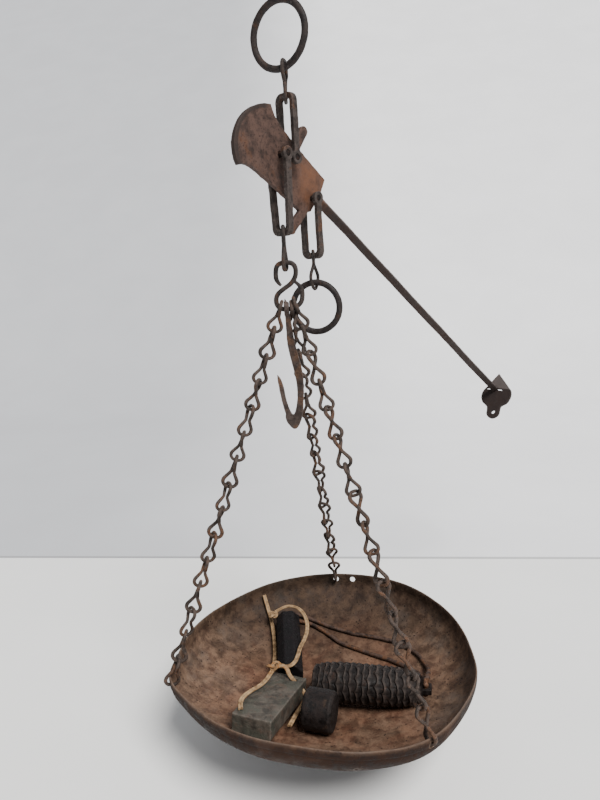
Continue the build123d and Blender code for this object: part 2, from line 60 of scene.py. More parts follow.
class Shader:
    """A Principled material whose maps are measured in mm of the object's own space."""

    def __init__(self, name, roughness=0.7, metallic=0.0, specular=0.4):
        self.material = bpy.data.materials.new(name)
        self.material.use_nodes = True
        self.tree = self.material.node_tree
        self.bsdf = self.tree.nodes["Principled BSDF"]
        self.bsdf.inputs["Roughness"].default_value = roughness
        self.bsdf.inputs["Metallic"].default_value = metallic
        self.bsdf.inputs["Specular IOR Level"].default_value = specular
        place = self.tree.nodes.new("ShaderNodeTexCoord").outputs["Object"]
        scaled = self.tree.nodes.new("ShaderNodeVectorMath")
        scaled.operation = "SCALE"
        scaled.inputs["Scale"].default_value = 1 / MM
        self.link(place, scaled.inputs[0])
        self.place = scaled.outputs[0]

    def link(self, source, target):
        self.tree.links.new(source, target)

    def feed(self, value, socket):
        if isinstance(value, (int, float)):
            socket.default_value = value
        elif isinstance(value, (tuple, list)):
            socket.default_value = (*value, 1.0) if len(socket.default_value) == 4 else value
        else:
            self.link(value, socket)

    def noise(self, size, detail=4.0, rough=0.55, distort=0.0):
        """Noise from about 0.25 to 0.75, with features of about size mm."""
        node = self.tree.nodes.new("ShaderNodeTexNoise")
        node.inputs["Scale"].default_value = 1 / size
        node.inputs["Detail"].default_value = detail
        node.inputs["Roughness"].default_value = rough
        node.inputs["Distortion"].default_value = distort
        self.link(self.place, node.inputs["Vector"])
        return node.outputs["Fac"]

    def cells(self, size):
        node = self.tree.nodes.new("ShaderNodeTexVoronoi")
        node.inputs["Scale"].default_value = 1 / size
        self.link(self.place, node.inputs["Vector"])
        return node.outputs["Distance"]

    def span(self, value, low, high, to_low=0.0, to_high=1.0):
        node = self.tree.nodes.new("ShaderNodeMapRange")
        node.interpolation_type = "SMOOTHSTEP"
        self.feed(value, node.inputs["Value"])
        node.inputs["From Min"].default_value = low
        node.inputs["From Max"].default_value = high
        node.inputs["To Min"].default_value = to_low
        node.inputs["To Max"].default_value = to_high
        return node.outputs["Result"]

    def math(self, operation, first, second=0.0):
        node = self.tree.nodes.new("ShaderNodeMath")
        node.operation = operation
        self.feed(first, node.inputs[0])
        self.feed(second, node.inputs[1])
        return node.outputs[0]

    def mix(self, share, first, second, blend="MIX"):
        node = self.tree.nodes.new("ShaderNodeMix")
        node.data_type = "RGBA"
        node.blend_type = blend
        self.feed(share, node.inputs["Factor"])
        self.feed(first, node.inputs["A"])
        self.feed(second, node.inputs["B"])
        return node.outputs["Result"]

    def along(self, origin, way):
        """Distance in mm from a point along a direction."""
        offset = self.tree.nodes.new("ShaderNodeVectorMath")
        offset.operation = "SUBTRACT"
        self.link(self.place, offset.inputs[0])
        offset.inputs[1].default_value = origin
        dot = self.tree.nodes.new("ShaderNodeVectorMath")
        dot.operation = "DOT_PRODUCT"
        self.link(offset.outputs[0], dot.inputs[0])
        dot.inputs[1].default_value = way
        return dot.outputs["Value"]

    def distance(self, centre):
        """Distance in mm from a point."""
        node = self.tree.nodes.new("ShaderNodeVectorMath")
        node.operation = "DISTANCE"
        self.link(self.place, node.inputs[0])
        node.inputs[1].default_value = centre
        return node.outputs["Value"]

    def near(self, centre, inner, outer):
        """1 within inner mm of a point, 0 beyond outer mm."""
        return self.span(self.distance(centre), inner, outer, 1.0, 0.0)

    def painted(self, layer):
        """A colour attribute that the mesh carries."""
        node = self.tree.nodes.new("ShaderNodeVertexColor")
        node.layer_name = layer
        return node.outputs["Color"]

    def edges(self, low=0.5, high=0.6):
        node = self.tree.nodes.new("ShaderNodeNewGeometry")
        return self.span(node.outputs["Pointiness"], low, high)

    def height(self, value, distance, strength=1.0):
        """Adds a bump of some mm over those already there."""
        node = self.tree.nodes.new("ShaderNodeBump")
        node.inputs["Distance"].default_value = distance * MM
        node.inputs["Strength"].default_value = strength
        self.link(value, node.inputs["Height"])
        if self.bsdf.inputs["Normal"].links:
            self.link(self.bsdf.inputs["Normal"].links[0].from_socket, node.inputs["Normal"])
        self.link(node.outputs["Normal"], self.bsdf.inputs["Normal"])

    def colour(self, value):
        self.feed(value, self.bsdf.inputs["Base Color"])

    def roughness(self, value):
        self.feed(value, self.bsdf.inputs["Roughness"])


def iron(name, dark, mid, light, rust, rust_share=0.4, patch=14.0, metallic=0.1, pit=0.25, worn=0.5):
    """Rusted iron: mottled, pitted, rust in patches, and rubbed lighter along its edges."""
    shader = Shader(name, 0.65, metallic, 0.22)
    mottle = shader.noise(5.0, 6.0, 0.62)
    base = shader.mix(shader.span(mottle, 0.34, 0.62), dark, mid)
    clouds = shader.noise(patch, 5.0, 0.6, 0.6)
    threshold = 0.68 - 0.3 * rust_share
    rusty = shader.span(clouds, threshold - 0.05, threshold + 0.1)
    grain = shader.noise(1.3, 4.0, 0.7)
    rust_mix = shader.mix(shader.span(grain, 0.35, 0.65), tuple(0.55 * c for c in rust), rust)
    base = shader.mix(rusty, base, rust_mix)
    edge_wear_and_lip_highlight = shader.math("MULTIPLY", shader.edges(), shader.span(clouds, 0.35, 0.6, 0.3 * worn, worn))
    base = shader.mix(edge_wear_and_lip_highlight, base, light)
    pits = shader.span(shader.noise(1.0, 3.0, 0.6), 0.28, 0.45)
    base = shader.mix(shader.math("SUBTRACT", 1.0, pits), base, tuple(0.45 * c for c in dark))
    shader.base = base
    shader.colour(base)
    shader.roughness(shader.span(mottle, 0.3, 0.7, 0.5, 0.85))
    shader.height(shader.noise(2.2, 6.0, 0.7), pit)
    shader.height(pits, 0.6 * pit, 0.7)
    return shader


def poise_look():
    """Black casting, with a painted highlight, greyer and browner, on the lips of its scales."""
    colours = [(0.003, 0.002, 0.002), (0.014, 0.010, 0.009), (0.06, 0.045, 0.04), (0.04, 0.02, 0.013)]
    shader = iron("poise_iron", *colours, rust_share=0.2, patch=8.0)
    patchy = shader.span(shader.noise(3.0), 0.3, 0.55, 0.5, 1.0)
    # The lips of the scales are painted lighter, as a painted highlight where the light catches them.
    edge_wear_and_lip_highlight = shader.math("MULTIPLY", shader.painted("lip_highlight"), patchy)
    shader.colour(shader.mix(edge_wear_and_lip_highlight, shader.base, (0.10, 0.077, 0.066)))
    return shader


# Plain irons: their dark, middle, rubbed and rusty colours, and how the rust lies
IRONS = {
    "ring_iron": (
        [(0.012, 0.010, 0.010), (0.035, 0.027, 0.025), (0.12, 0.10, 0.10), (0.06, 0.032, 0.02)],
        {"rust_share": 0.25},
    ),
    "link_iron": (
        [(0.014, 0.011, 0.010), (0.045, 0.034, 0.030), (0.12, 0.10, 0.09), (0.085, 0.042, 0.024)],
        {"rust_share": 0.35, "patch": 8.0},
    ),
    "shackle_iron": (
        [(0.022, 0.017, 0.015), (0.062, 0.048, 0.043), (0.16, 0.13, 0.12), (0.10, 0.05, 0.03)],
        {"rust_share": 0.3, "patch": 9.0, "metallic": 0.2},
    ),
    # The pins are painted near black, as painted shade where they sit in the dark eyes of the shackles, with
    # rust over it.
    "pin_iron": (
        [(0.003, 0.002, 0.002), (0.010, 0.006, 0.005), (0.04, 0.028, 0.022), (0.05, 0.02, 0.011)],
        {"rust_share": 0.5, "patch": 3.0},
    ),
    "hook_iron": (
        [(0.032, 0.023, 0.02), (0.09, 0.066, 0.057), (0.22, 0.18, 0.165), (0.14, 0.078, 0.05)],
        {"rust_share": 0.5, "patch": 13.0, "metallic": 0.2},
    ),
    "chain_iron": (
        [(0.022, 0.016, 0.013), (0.07, 0.05, 0.041), (0.15, 0.12, 0.105), (0.12, 0.057, 0.03)],
        {"rust_share": 0.45, "patch": 10.0, "metallic": 0.15},
    ),
    "bail_iron": (
        [(0.022, 0.014, 0.011), (0.075, 0.046, 0.035), (0.14, 0.10, 0.08), (0.13, 0.06, 0.03)],
        {"rust_share": 0.5, "patch": 7.0},
    ),
    "bar_iron": (
        [(0.002, 0.002, 0.002), (0.006, 0.004, 0.005), (0.05, 0.036, 0.032), (0.016, 0.009, 0.006)],
        {"rust_share": 0.2, "patch": 9.0},
    ),
    "cylinder_iron": (
        [(0.004, 0.003, 0.003), (0.017, 0.012, 0.011), (0.085, 0.07, 0.06), (0.05, 0.03, 0.02)],
        {"rust_share": 0.2, "patch": 7.0},
    ),
}
looks = {name: iron(name, *colours, **rust) for name, (colours, rust) in IRONS.items()}
looks["poise_iron"] = poise_look()


def head_colours(shader, base):
    """Bright rust by the lower shackle, scratched arcs near the back and painted shade along the bevel round
    it.
    """
    patchy = shader.span(shader.noise(9.0), 0.35, 0.65, 0.25, 0.8)
    orange = shader.math("MULTIPLY", shader.near((13.0, 12.0, -98.0), 5.0, 24.0), patchy)
    base = shader.mix(orange, base, (0.155, 0.068, 0.036))
    on_head = shader.near((-18.0, -18.0, -74.0), 20.0, 26.0)
    from_middle = shader.distance((-6.0, -6.0, -84.0))
    for radius in (14.0, 16.5, 31.0, 33.5):
        off_line = shader.math("ABSOLUTE", shader.math("SUBTRACT", from_middle, radius))
        line = shader.span(off_line, 0.15, 0.5, 1.0, 0.0)
        line = shader.math("MULTIPLY", line, shader.span(shader.noise(4.0), 0.42, 0.58, 0.0, 0.6))
        base = shader.mix(shader.math("MULTIPLY", line, on_head), base, (0.045, 0.03, 0.025))
    # A dark band along the bevel of the head's back: painted shade where the bevel faces away from the light.
    round_back = UPPER_PIVOT - BEAM_ALONG * 18 + Vector((0, 0, 3))
    bevel_shade = shader.span(shader.distance(round_back), 22.8, 23.6, 0.0, 0.75)
    behind = shader.span(shader.along(round_back, BEAM_ALONG), -2.0, 4.0, 1.0, 0.0)
    return shader.mix(shader.math("MULTIPLY", bevel_shade, behind), base, (0.028, 0.021, 0.019))


def rod_colours(shader, base, along_rod, above_rod):
    """A darker rod, darkest at its end, with a painted highlight along its top face."""
    root = shader.span(along_rod, 0.0, 16.0, 1.0, 0.62)
    tip = shader.span(along_rod, 235.0, 262.0, 1.0, 0.35)
    base = shader.mix(1.0, base, shader.math("MULTIPLY", root, tip), "MULTIPLY")
    base = shader.mix(shader.span(along_rod, 2.0, 14.0, 0.0, 0.65), base, (0.036, 0.026, 0.024))
    # The rod's top face is painted lighter, as a painted highlight from the light above.
    strip = shader.span(above_rod, 1.0, 1.8, 0.0, 0.75)
    strip = shader.math("MULTIPLY", strip, shader.span(along_rod, 4.0, 12.0))
    return shader.mix(strip, base, (0.12, 0.10, 0.095))


def rod_marks(shader, along_rod, above_rod):
    """Evenly spaced weighing marks across the rod's top edge."""
    spacing = 4.1
    beat = shader.math("FRACT", shader.math("DIVIDE", along_rod, spacing))
    marks = shader.math("ABSOLUTE", shader.math("SUBTRACT", beat, 0.5))
    marks = shader.span(marks, 0.06, 0.14, 1.0, 0.0)
    marks = shader.math("MULTIPLY", marks, shader.span(above_rod, 1.9, 2.5))
    return shader.math("MULTIPLY", marks, shader.span(along_rod, 12.0, 14.0))


def beam_look():
    """Brown forged plate and a dark, marked rod in one iron."""
    colours = [(0.034, 0.021, 0.017), (0.088, 0.052, 0.041), (0.19, 0.15, 0.135), (0.11, 0.052, 0.031)]
    shader = iron("beam_iron", *colours, rust_share=0.35, patch=16.0, metallic=0.15)
    along_rod = shader.along(ROD_BEGIN, ROD_WAY)
    above_rod = shader.along(ROD_BEGIN, ROD_UP)
    base = rod_colours(shader, head_colours(shader, shader.base), along_rod, above_rod)
    marks = rod_marks(shader, along_rod, above_rod)
    shader.colour(shader.mix(marks, base, (0.012, 0.009, 0.008)))
    shader.height(marks, -0.4)
    return shader


def dish_look():
    """Thin sheet with mottled rust: redder in the middle, greyer up the sides, and painted dark underneath as
    painted shade.
    """
    shader = Shader("dish_iron", 0.72, 0.0, 0.15)
    mottle = shader.noise(7.0, 9.0, 0.7, 0.3)
    fine = shader.noise(1.9, 6.0, 0.75)
    inside = shader.mix(shader.span(mottle, 0.34, 0.64), (0.08, 0.046, 0.031), (0.19, 0.12, 0.08))
    clouds = shader.noise(30.0, 4.0, 0.55, 0.5)
    centre = tuple(DISH.translation / MM)
    low = shader.span(shader.along(centre, tuple(DISH.col[2].xyz)), -38.0, -18.0, 1.0, 0.12)
    red = shader.math("MULTIPLY", shader.span(clouds, 0.38, 0.62, 0.25, 1.0), low)
    rust = shader.mix(shader.span(mottle, 0.36, 0.62), (0.12, 0.055, 0.034), (0.20, 0.105, 0.064))
    inside = shader.mix(red, inside, rust)
    grey = shader.span(shader.noise(24.0, 6.0, 0.6), 0.46, 0.66, 0.0, 0.55)
    grey = shader.math("MULTIPLY", grey, shader.math("SUBTRACT", 1.0, low))
    inside = shader.mix(grey, inside, (0.15, 0.122, 0.102))
    pits = shader.span(shader.cells(3.0), 0.1, 0.28)
    spots = shader.span(shader.noise(6.0, 3.0), 0.46, 0.6)
    pitted = shader.math("MULTIPLY", spots, shader.math("SUBTRACT", 1.0, pits))
    inside = shader.mix(pitted, inside, (0.024, 0.014, 0.011))
    pores = shader.span(fine, 0.3, 0.46, 0.6, 0.0)
    inside = shader.mix(pores, inside, (0.03, 0.018, 0.014))
    # The inside is made darker towards the rear of the dish.
    rear_darkening = shader.span(shader.along(centre, tuple(DISH.col[1].xyz)), 8.0, 82.0, 1.0, 0.42)
    inside = shader.mix(1.0, inside, rear_darkening, "MULTIPLY")
    blotches = shader.span(shader.noise(13.0, 5.0, 0.65, 0.6), 0.34, 0.6, 0.52, 0.92)
    inside = shader.mix(1.0, inside, blotches, "MULTIPLY")
    # The outside is painted much darker than the inside, as painted shade under the bowl, with rust clouds
    # over it.
    outside = shader.mix(shader.span(mottle, 0.36, 0.62), (0.010, 0.004, 0.0025), (0.026, 0.012, 0.007))
    outside = shader.mix(shader.span(clouds, 0.52, 0.66, 0.0, 0.6), outside, (0.048, 0.024, 0.015))
    scratch = shader.near(tuple(in_dish(12.0, -97.0, -17.0) / MM), 2.0, 10.0)
    scratch = shader.math("MULTIPLY", scratch, shader.span(shader.noise(1.5, 4.0, 0.7), 0.5, 0.6, 0.0, 0.7))
    outside = shader.mix(scratch, outside, (0.30, 0.27, 0.25))
    base = shader.mix(shader.painted("inside"), outside, inside)
    base = shader.mix(shader.math("MULTIPLY", shader.edges(0.52, 0.62), 0.5), base, (0.2, 0.155, 0.13))
    shader.colour(base)
    shader.roughness(shader.span(mottle, 0.35, 0.65, 0.58, 0.85))
    shader.height(mottle, 0.5)
    shader.height(fine, 0.35, 0.8)
    shader.height(pits, 0.3, 0.6)
    return shader


def block_look():
    """Old grey-green paint, dirty and worn brown on the corners."""
    shader = Shader("block_iron", 0.7, 0.05, 0.35)
    mottle = shader.noise(7.0, 7.0, 0.65, 0.5)
    base = shader.mix(shader.span(mottle, 0.34, 0.64), (0.028, 0.024, 0.019), (0.085, 0.07, 0.056))
    green = shader.span(shader.noise(14.0, 4.0), 0.42, 0.6, 0.0, 0.55)
    base = shader.mix(green, base, (0.034, 0.041, 0.031))
    brown = shader.span(shader.noise(5.0, 6.0, 0.7), 0.5, 0.66, 0.0, 0.8)
    base = shader.mix(brown, base, (0.075, 0.05, 0.037))
    base = shader.mix(shader.math("MULTIPLY", shader.edges(), 0.6), base, (0.15, 0.13, 0.11))
    shader.colour(base)
    shader.height(mottle, 0.5)
    shader.height(shader.noise(1.2, 4.0, 0.7), 0.2)
    return shader


def lace_look():
    """Tan rawhide, dirty in patches, with a fine grain and painted shade along its groove."""
    shader = Shader("lace_leather", 0.75, 0.0, 0.3)
    mottle = shader.noise(4.0, 5.0, 0.6)
    base = shader.mix(shader.span(mottle, 0.36, 0.62), (0.17, 0.10, 0.048), (0.36, 0.235, 0.125))
    stain = shader.near(KNOT, 3.0, 14.0)
    stain = shader.math("MULTIPLY", stain, shader.span(shader.noise(2.5), 0.42, 0.56))
    base = shader.mix(stain, base, (0.26, 0.12, 0.04))
    # Painted shade: darker where ambient occlusion finds the lace's groove.
    groove_shade = shader.tree.nodes.new("ShaderNodeAmbientOcclusion")
    groove_shade.inputs["Distance"].default_value = 1.2 * MM
    base = shader.mix(shader.span(groove_shade.outputs["AO"], 0.45, 0.85, 0.55, 0.0), base, (0.05, 0.028, 0.014))
    base = shader.mix(shader.span(shader.noise(1.0, 3.0), 0.55, 0.7, 0.0, 0.6), base, (0.09, 0.055, 0.035))
    shader.colour(base)
    shader.height(shader.noise(0.8, 4.0, 0.6), 0.25)
    return shader


# Places
BEAM_ALONG = Vector((math.sqrt(0.5), math.sqrt(0.5), 0))
UPPER_PIVOT = Vector((0, 0, -85.01))
ROD_SLOPE = math.radians(-35.6)
ROD_WAY = BEAM_ALONG * math.cos(ROD_SLOPE) + Vector((0, 0, math.sin(ROD_SLOPE)))
ROD_UP = Vector((0, 0, math.cos(ROD_SLOPE))) - BEAM_ALONG * math.sin(ROD_SLOPE)
ROD_BEGIN = UPPER_PIVOT + BEAM_ALONG * 25.5 + Vector((0, 0, -25.0))
DISH = (
    Matrix.Translation(Vector((5.5, -12.0, -412.11)) * MM)
    @ Matrix.Rotation(math.radians(-2.3), 4, "X")
    @ Matrix.Rotation(math.radians(2.0), 4, "Y")
)

# The dish: its outer and inner radius, the upright band below its mouth, and the depth of the bowl under that
DISH_RADIUS = 103.5
DISH_BORE = 102.3
DISH_BAND = 5.2
DISH_DEPTH = 35.8
DISH_DEPTH_INSIDE = 34.6

# Azimuths of the rim holes that the chains hang in, and of the spare one
CHAIN_HOLES = {"chain_left": 199, "chain_rear": 83, "chain_right": 302}
SPARE_HOLE = 75


def in_dish(x, y, z):
    """A point of the dish's own frame, in metres of the model's frame."""
    return DISH @ (Vector((x, y, z)) * MM)


KNOT = tuple(in_dish(-36.5, -7.0, -10.5) / MM)
looks["beam_iron"] = beam_look()
looks["dish_iron"] = dish_look()
looks["block_iron"] = block_look()
looks["lace_leather"] = lace_look()


# Mesh helpers


def add_object(name, data):
    piece = bpy.data.objects.new(name, data)
    bpy.context.scene.collection.objects.link(piece)
    return piece


def apply_modifiers(piece):
    graph = bpy.context.evaluated_depsgraph_get()
    done = bpy.data.meshes.new_from_object(piece.evaluated_get(graph))
    piece.modifiers.clear()
    piece.data = done


def dress(piece, body, slot, *nodes):
    """Shades a piece smooth, gives it its slot's material and sets it on its body."""
    if piece.type == "MESH":
        piece.data.polygons.foreach_set("use_smooth", [True] * len(piece.data.polygons))
    piece.data.materials.clear()
    piece.data.materials.append(looks[slot].material)
    if nodes:
        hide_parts(*nodes)
    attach(piece, body)
    return piece


def as_mesh(name, whole):
    """A bmesh as a new mesh."""
    mesh = bpy.data.meshes.new(name)
    whole.to_mesh(mesh)
    whole.free()
    return mesh


def ring_faces(rows, steps):
    """Quads between rings of vertices, each ring closed on itself."""
    faces = []
    for row in range(rows):
        here = row * steps
        above = here + steps
        for step in range(steps):
            after = (step + 1) % steps
            faces.append((here + step, here + after, above + after, above + step))
    return faces


def painted_mesh(name, verts, faces, layer_name, shares):
    """A mesh whose faces look outward, with a grey colour attribute from one share for each vertex."""
    mesh = bpy.data.meshes.new(name)
    mesh.from_pydata([spot[:] for spot in verts], [], faces)
    layer = mesh.color_attributes.new(layer_name, "FLOAT_COLOR", "POINT")
    for number, share in enumerate(shares):
        layer.data[number].color = (share, share, share, 1)
    whole = bmesh.new()
    whole.from_mesh(mesh)
    bmesh.ops.recalc_face_normals(whole, faces=whole.faces)
    whole.to_mesh(mesh)
    whole.free()
    return mesh


def merged(mesh):
    """A bmesh of the mesh, with the vertices that lie on each other made one."""
    whole = bmesh.new()
    whole.from_mesh(mesh)
    bmesh.ops.remove_doubles(whole, verts=whole.verts, dist=1e-6)
    return whole


def islands(whole):
    """Meshes of the separate closed bodies in a bmesh."""
    left = set(whole.verts)
    parts = []
    while left:
        stack = [left.pop()]
        found = set(stack)
        while stack:
            for edge in stack.pop().link_edges:
                for vert in edge.verts:
                    if vert not in found:
                        found.add(vert)
                        stack.append(vert)
        left -= found
        faces = {face for vert in found for face in vert.link_faces}
        order = {vert: number for number, vert in enumerate(found)}
        mesh = bpy.data.meshes.new("island")
        mesh.from_pydata(
            [vert.co[:] for vert in order], [], [[order[vert] for vert in face.verts] for face in faces]
        )
        parts.append(mesh)
    return parts


def remeshed(mesh, voxel, rounds):
    piece = add_object("work", mesh)
    remesh = piece.modifiers.new("remesh", "REMESH")
    remesh.mode = "VOXEL"
    remesh.voxel_size = voxel * MM
    smooth = piece.modifiers.new("smooth", "SMOOTH")
    smooth.factor = 0.5
    smooth.iterations = rounds
    apply_modifiers(piece)
    done = piece.data
    bpy.data.objects.remove(piece)
    return done


def sway(spot, amount):
    """A slow bend of space that is the same for every piece, so that hand-bent parts still meet."""
    return noise.noise_vector(spot * (1 / (28 * MM))) * amount * MM


def roughen(mesh, pit, bend):
    """Shallow dents and scale over a fine mesh, and a slow bend."""
    moves = []
    for vert in mesh.vertices:
        dents = noise.noise(vert.co * (1 / (4 * MM))) + 0.5 * noise.noise(vert.co * (1 / (1.6 * MM)))
        moves.append(vert.co + vert.normal * dents * pit * MM + sway(vert.co, bend))
    for vert, spot in zip(mesh.vertices, moves):
        vert.co = spot


def joined(meshes):
    whole = bmesh.new()
    for mesh in meshes:
        whole.from_mesh(mesh)
    return as_mesh("joined", whole)


def twist(mesh, centre, start, end, turn):
    """Turns a hanging link about its plumb axis, by nothing at one height to turn degrees at another."""
    for vert in mesh.vertices:
        share = min(1.0, max(0.0, (vert.co.z / MM - start) / (end - start)))
        share = share * share * (3 - 2 * share)
        offset = Vector((vert.co.x - centre[0] * MM, vert.co.y - centre[1] * MM))
        offset.rotate(Matrix.Rotation(math.radians(turn * share), 2))
        vert.co.x = centre[0] * MM + offset.x
        vert.co.y = centre[1] * MM + offset.y


# Links whose loops stand at another angle than the solids': axis, heights and turn
TWISTS = {
    "eye_link": ((0, 0), -47.0, -38.0, -15.0),
    "load_link": ((-6.58, -6.58), -134.0, -143.0, -14.0),
}


def worn(node, voxel, rounds=2, pit=0.12, bend=0.3):
    """The CAD solid with forged, rounded edges and a scaled surface in place of its sharp one."""
    meshes = [remeshed(mesh, voxel, rounds) for mesh in islands(merged(frame["nodes"][node].data))]
    mesh = joined(meshes)
    if node in TWISTS:
        twist(mesh, *TWISTS[node])
    roughen(mesh, pit, bend)
    return dress(add_object(f"{node}_forged", mesh), body_of[node], slot_of[node], node)


# The camera's place, and how far it is tilted down and rolled, in degrees
CAMERA_PLACE = Vector((2.7, -390.0, -147.1))
CAMERA_TILT = 12.9
CAMERA_ROLL = 3.5


def place_camera():
    data = bpy.data.cameras.new("camera")
    data.sensor_fit = "VERTICAL"
    data.sensor_height = 24.0
    data.lens = 18.0
    data.clip_start = 0.01
    data.clip_end = 20.0
    camera = add_object("camera", data)
    tilt = math.radians(CAMERA_TILT)
    turn = math.radians(CAMERA_ROLL)
    right = Vector((math.cos(turn), 0, -math.sin(turn)))
    ahead = Vector((-math.sin(turn) * math.sin(tilt), math.cos(tilt), -math.cos(turn) * math.sin(tilt)))
    above = Vector((math.sin(turn) * math.cos(tilt), math.sin(tilt), math.cos(turn) * math.cos(tilt)))
    axes = Matrix((right, above, -ahead)).transposed().to_4x4()
    camera.matrix_world = Matrix.Translation(CAMERA_PLACE * MM) @ axes
    bpy.context.scene.camera = camera


place_camera()

# Leather laces. The routes' points are in the dish's frame, in metres.
LACE_LOOP = [
    (-0.0501, 0.0856, -0.0084),
    (-0.0472, 0.0802, -0.0160),
    (-0.0436, 0.0700, -0.0226),
    (-0.0410, 0.0560, -0.0270),
    (-0.0396, 0.0410, -0.0296),
    (-0.0392, 0.0260, -0.0300),
    (-0.0394, 0.0140, -0.0266),
    (-0.0376, 0.0056, -0.0206),
    (-0.0320, 0.0000, -0.0178),
    (-0.0266, -0.0010, -0.0170),
    (-0.0226, 0.0036, -0.0164),
    (-0.0208, 0.0120, -0.0166),
    (-0.0194, 0.0220, -0.0170),
    (-0.0160, 0.0340, -0.0182),
    (-0.0136, 0.0455, -0.0174),
    (-0.0140, 0.0565, -0.0146),
    (-0.0182, 0.0654, -0.0116),
    (-0.0250, 0.0706, -0.0106),
    (-0.0330, 0.0710, -0.0110),
    (-0.0400, 0.0668, -0.0136),
]
LACE_TIE = [
    (-0.0562, -0.0554, -0.0082),
    (-0.0574, -0.0486, -0.0086),
    (-0.0556, -0.0410, -0.0098),
    (-0.0512, -0.0336, -0.0116),
    (-0.0454, -0.0260, -0.0132),
    (-0.0418, -0.0176, -0.0146),
    (-0.0386, -0.0096, -0.0136),
    (-0.0334, -0.0052, -0.0124),
    (-0.0286, -0.0070, -0.0136),
    (-0.0270, -0.0098, -0.0184),
    (-0.0149, -0.0150, -0.0296),
    (-0.0166, -0.0220, -0.0296),
    (-0.0198, -0.0306, -0.0284),
    (-0.0231, -0.0392, -0.0274),
    (-0.0264, -0.0477, -0.0274),
]
LACE_WIDTH = 3.2
LACE_THICKNESS = 1.5
KNOT_WIDTH = 2.4
KNOT_THICKNESS = 1.3


def strip_section(name, width, thickness):
    """A hidden flat section with a groove along its middle, for curves to follow."""
    data = bpy.data.curves.new(name, "CURVE")
    data.dimensions = "2D"
    line = data.splines.new("POLY")
    steps = 32
    line.points.add(steps - 1)
    for step in range(steps):
        angle = 2 * math.pi * step / steps
        across = math.cos(angle)
        lobe = math.sqrt(max(0.0, 1 - (2 * abs(across) - 1) ** 2))
        y = math.copysign(max(0.35 * (1 - across * across), lobe), math.sin(angle)) * thickness / 2
        line.points[step].co = (across * width / 2 * MM, y * MM, 0, 1)
    line.use_cyclic_u = True
    section = add_object(name, data)
    section.hide_render = True
    section.hide_viewport = True
    return section


strip = strip_section("strip_section", LACE_WIDTH, LACE_THICKNESS)
thong = strip_section("thong_section", KNOT_WIDTH, KNOT_THICKNESS)


def lace(name, points, section, cyclic=False):
    data = bpy.data.curves.new(name, "CURVE")
    data.dimensions = "3D"
    data.twist_mode = "Z_UP"
    data.resolution_u = 10
    line = data.splines.new("NURBS")
    line.points.add(len(points) - 1)
    for target, spot in zip(line.points, points):
        target.co = (*spot, 1)
    line.order_u = 3
    line.use_endpoint_u = not cyclic
    line.use_cyclic_u = cyclic
    data.bevel_mode = "OBJECT"
    data.bevel_object = section
    data.use_fill_caps = True
    return add_object(name, data)


def route(points):
    return [DISH @ Vector(point) for point in points]


loop_route = route(LACE_LOOP)
tie_route = route(LACE_TIE)
loop_lace = dress(lace("loop_lace", loop_route, strip), "tied_weights", "lace_leather", "lace_loop")
tie_lace = dress(lace("tie_lace", tie_route, strip), "tied_weights", "lace_leather", "lace_tie")


def knot(name, centre, size, turn):
    """A tight knot of the thong: a trefoil, flattened on what it lies on."""
    steps = 24
    points = []
    for step in range(steps):
        t = 2 * math.pi * step / steps
        x = math.sin(t) + 2 * math.sin(2 * t)
        y = math.cos(t) - 2 * math.cos(2 * t)
        z = -0.9 * math.sin(3 * t)
        spot = Matrix.Rotation(math.radians(turn), 3, "Z") @ Vector((x * 1.25, y * 0.8, z))
        points.append(DISH @ ((Vector(centre) + spot * size) * MM))
    return lace(name, points, thong, True)


tie_knot = dress(knot("tie_knot", (-37.5, -7.5, -12.0), 1.35, 20), "tied_weights", "lace_leather")
loop_knot = dress(knot("loop_knot", (-41.5, 64.5, -14.5), 1.2, 80), "tied_weights", "lace_leather")

# How far the dish's rim is bent outward and upward, by azimuth
RIM = [
    (28, 0.5, 0.6),
    (51, 1.6, 2.7),
    (81, 0.7, 1.3),
    (111, -0.4, -0.7),
    (139, -1.8, -2.4),
    (169, -0.6, -0.4),
    (184, 1.5, -0.4),
    (198, 7.0, -0.6),
    (210, 3.0, -1.3),
    (221, 1.0, -0.7),
    (240, -0.8, 1.0),
    (259, -1.6, 1.9),
    (281, 0.6, -0.6),
    (301, 2.9, -2.5),
    (321, 1.1, -0.6),
    (338, 0.1, 0.0),
    (357, -2.4, -0.9),
]


def rim_bend(azimuth):
    """Outward and upward bend at an azimuth, on a smooth closed line through the listed ones."""
    count = len(RIM)
    azimuth = (azimuth - RIM[0][0]) % 360 + RIM[0][0]
    place = max(number for number in range(count) if RIM[number][0] <= azimuth)
    near = [
        (RIM[number % count][0] + 360 * (number // count), *RIM[number % count][1:])
        for number in range(place - 1, place + 3)
    ]
    span = near[2][0] - near[1][0]
    t = (azimuth - near[1][0]) / span
    bend = []
    for axis in (1, 2):
        start = (near[2][axis] - near[0][axis]) / (near[2][0] - near[0][0]) * span
        end = (near[3][axis] - near[1][axis]) / (near[3][0] - near[1][0]) * span
        low, high = near[1][axis], near[2][axis]
        bend.append(
            (2 * t**3 - 3 * t**2 + 1) * low
            + (t**3 - 2 * t**2 + t) * start
            + (3 * t**2 - 2 * t**3) * high
            + (t**3 - t**2) * end
        )
    return bend


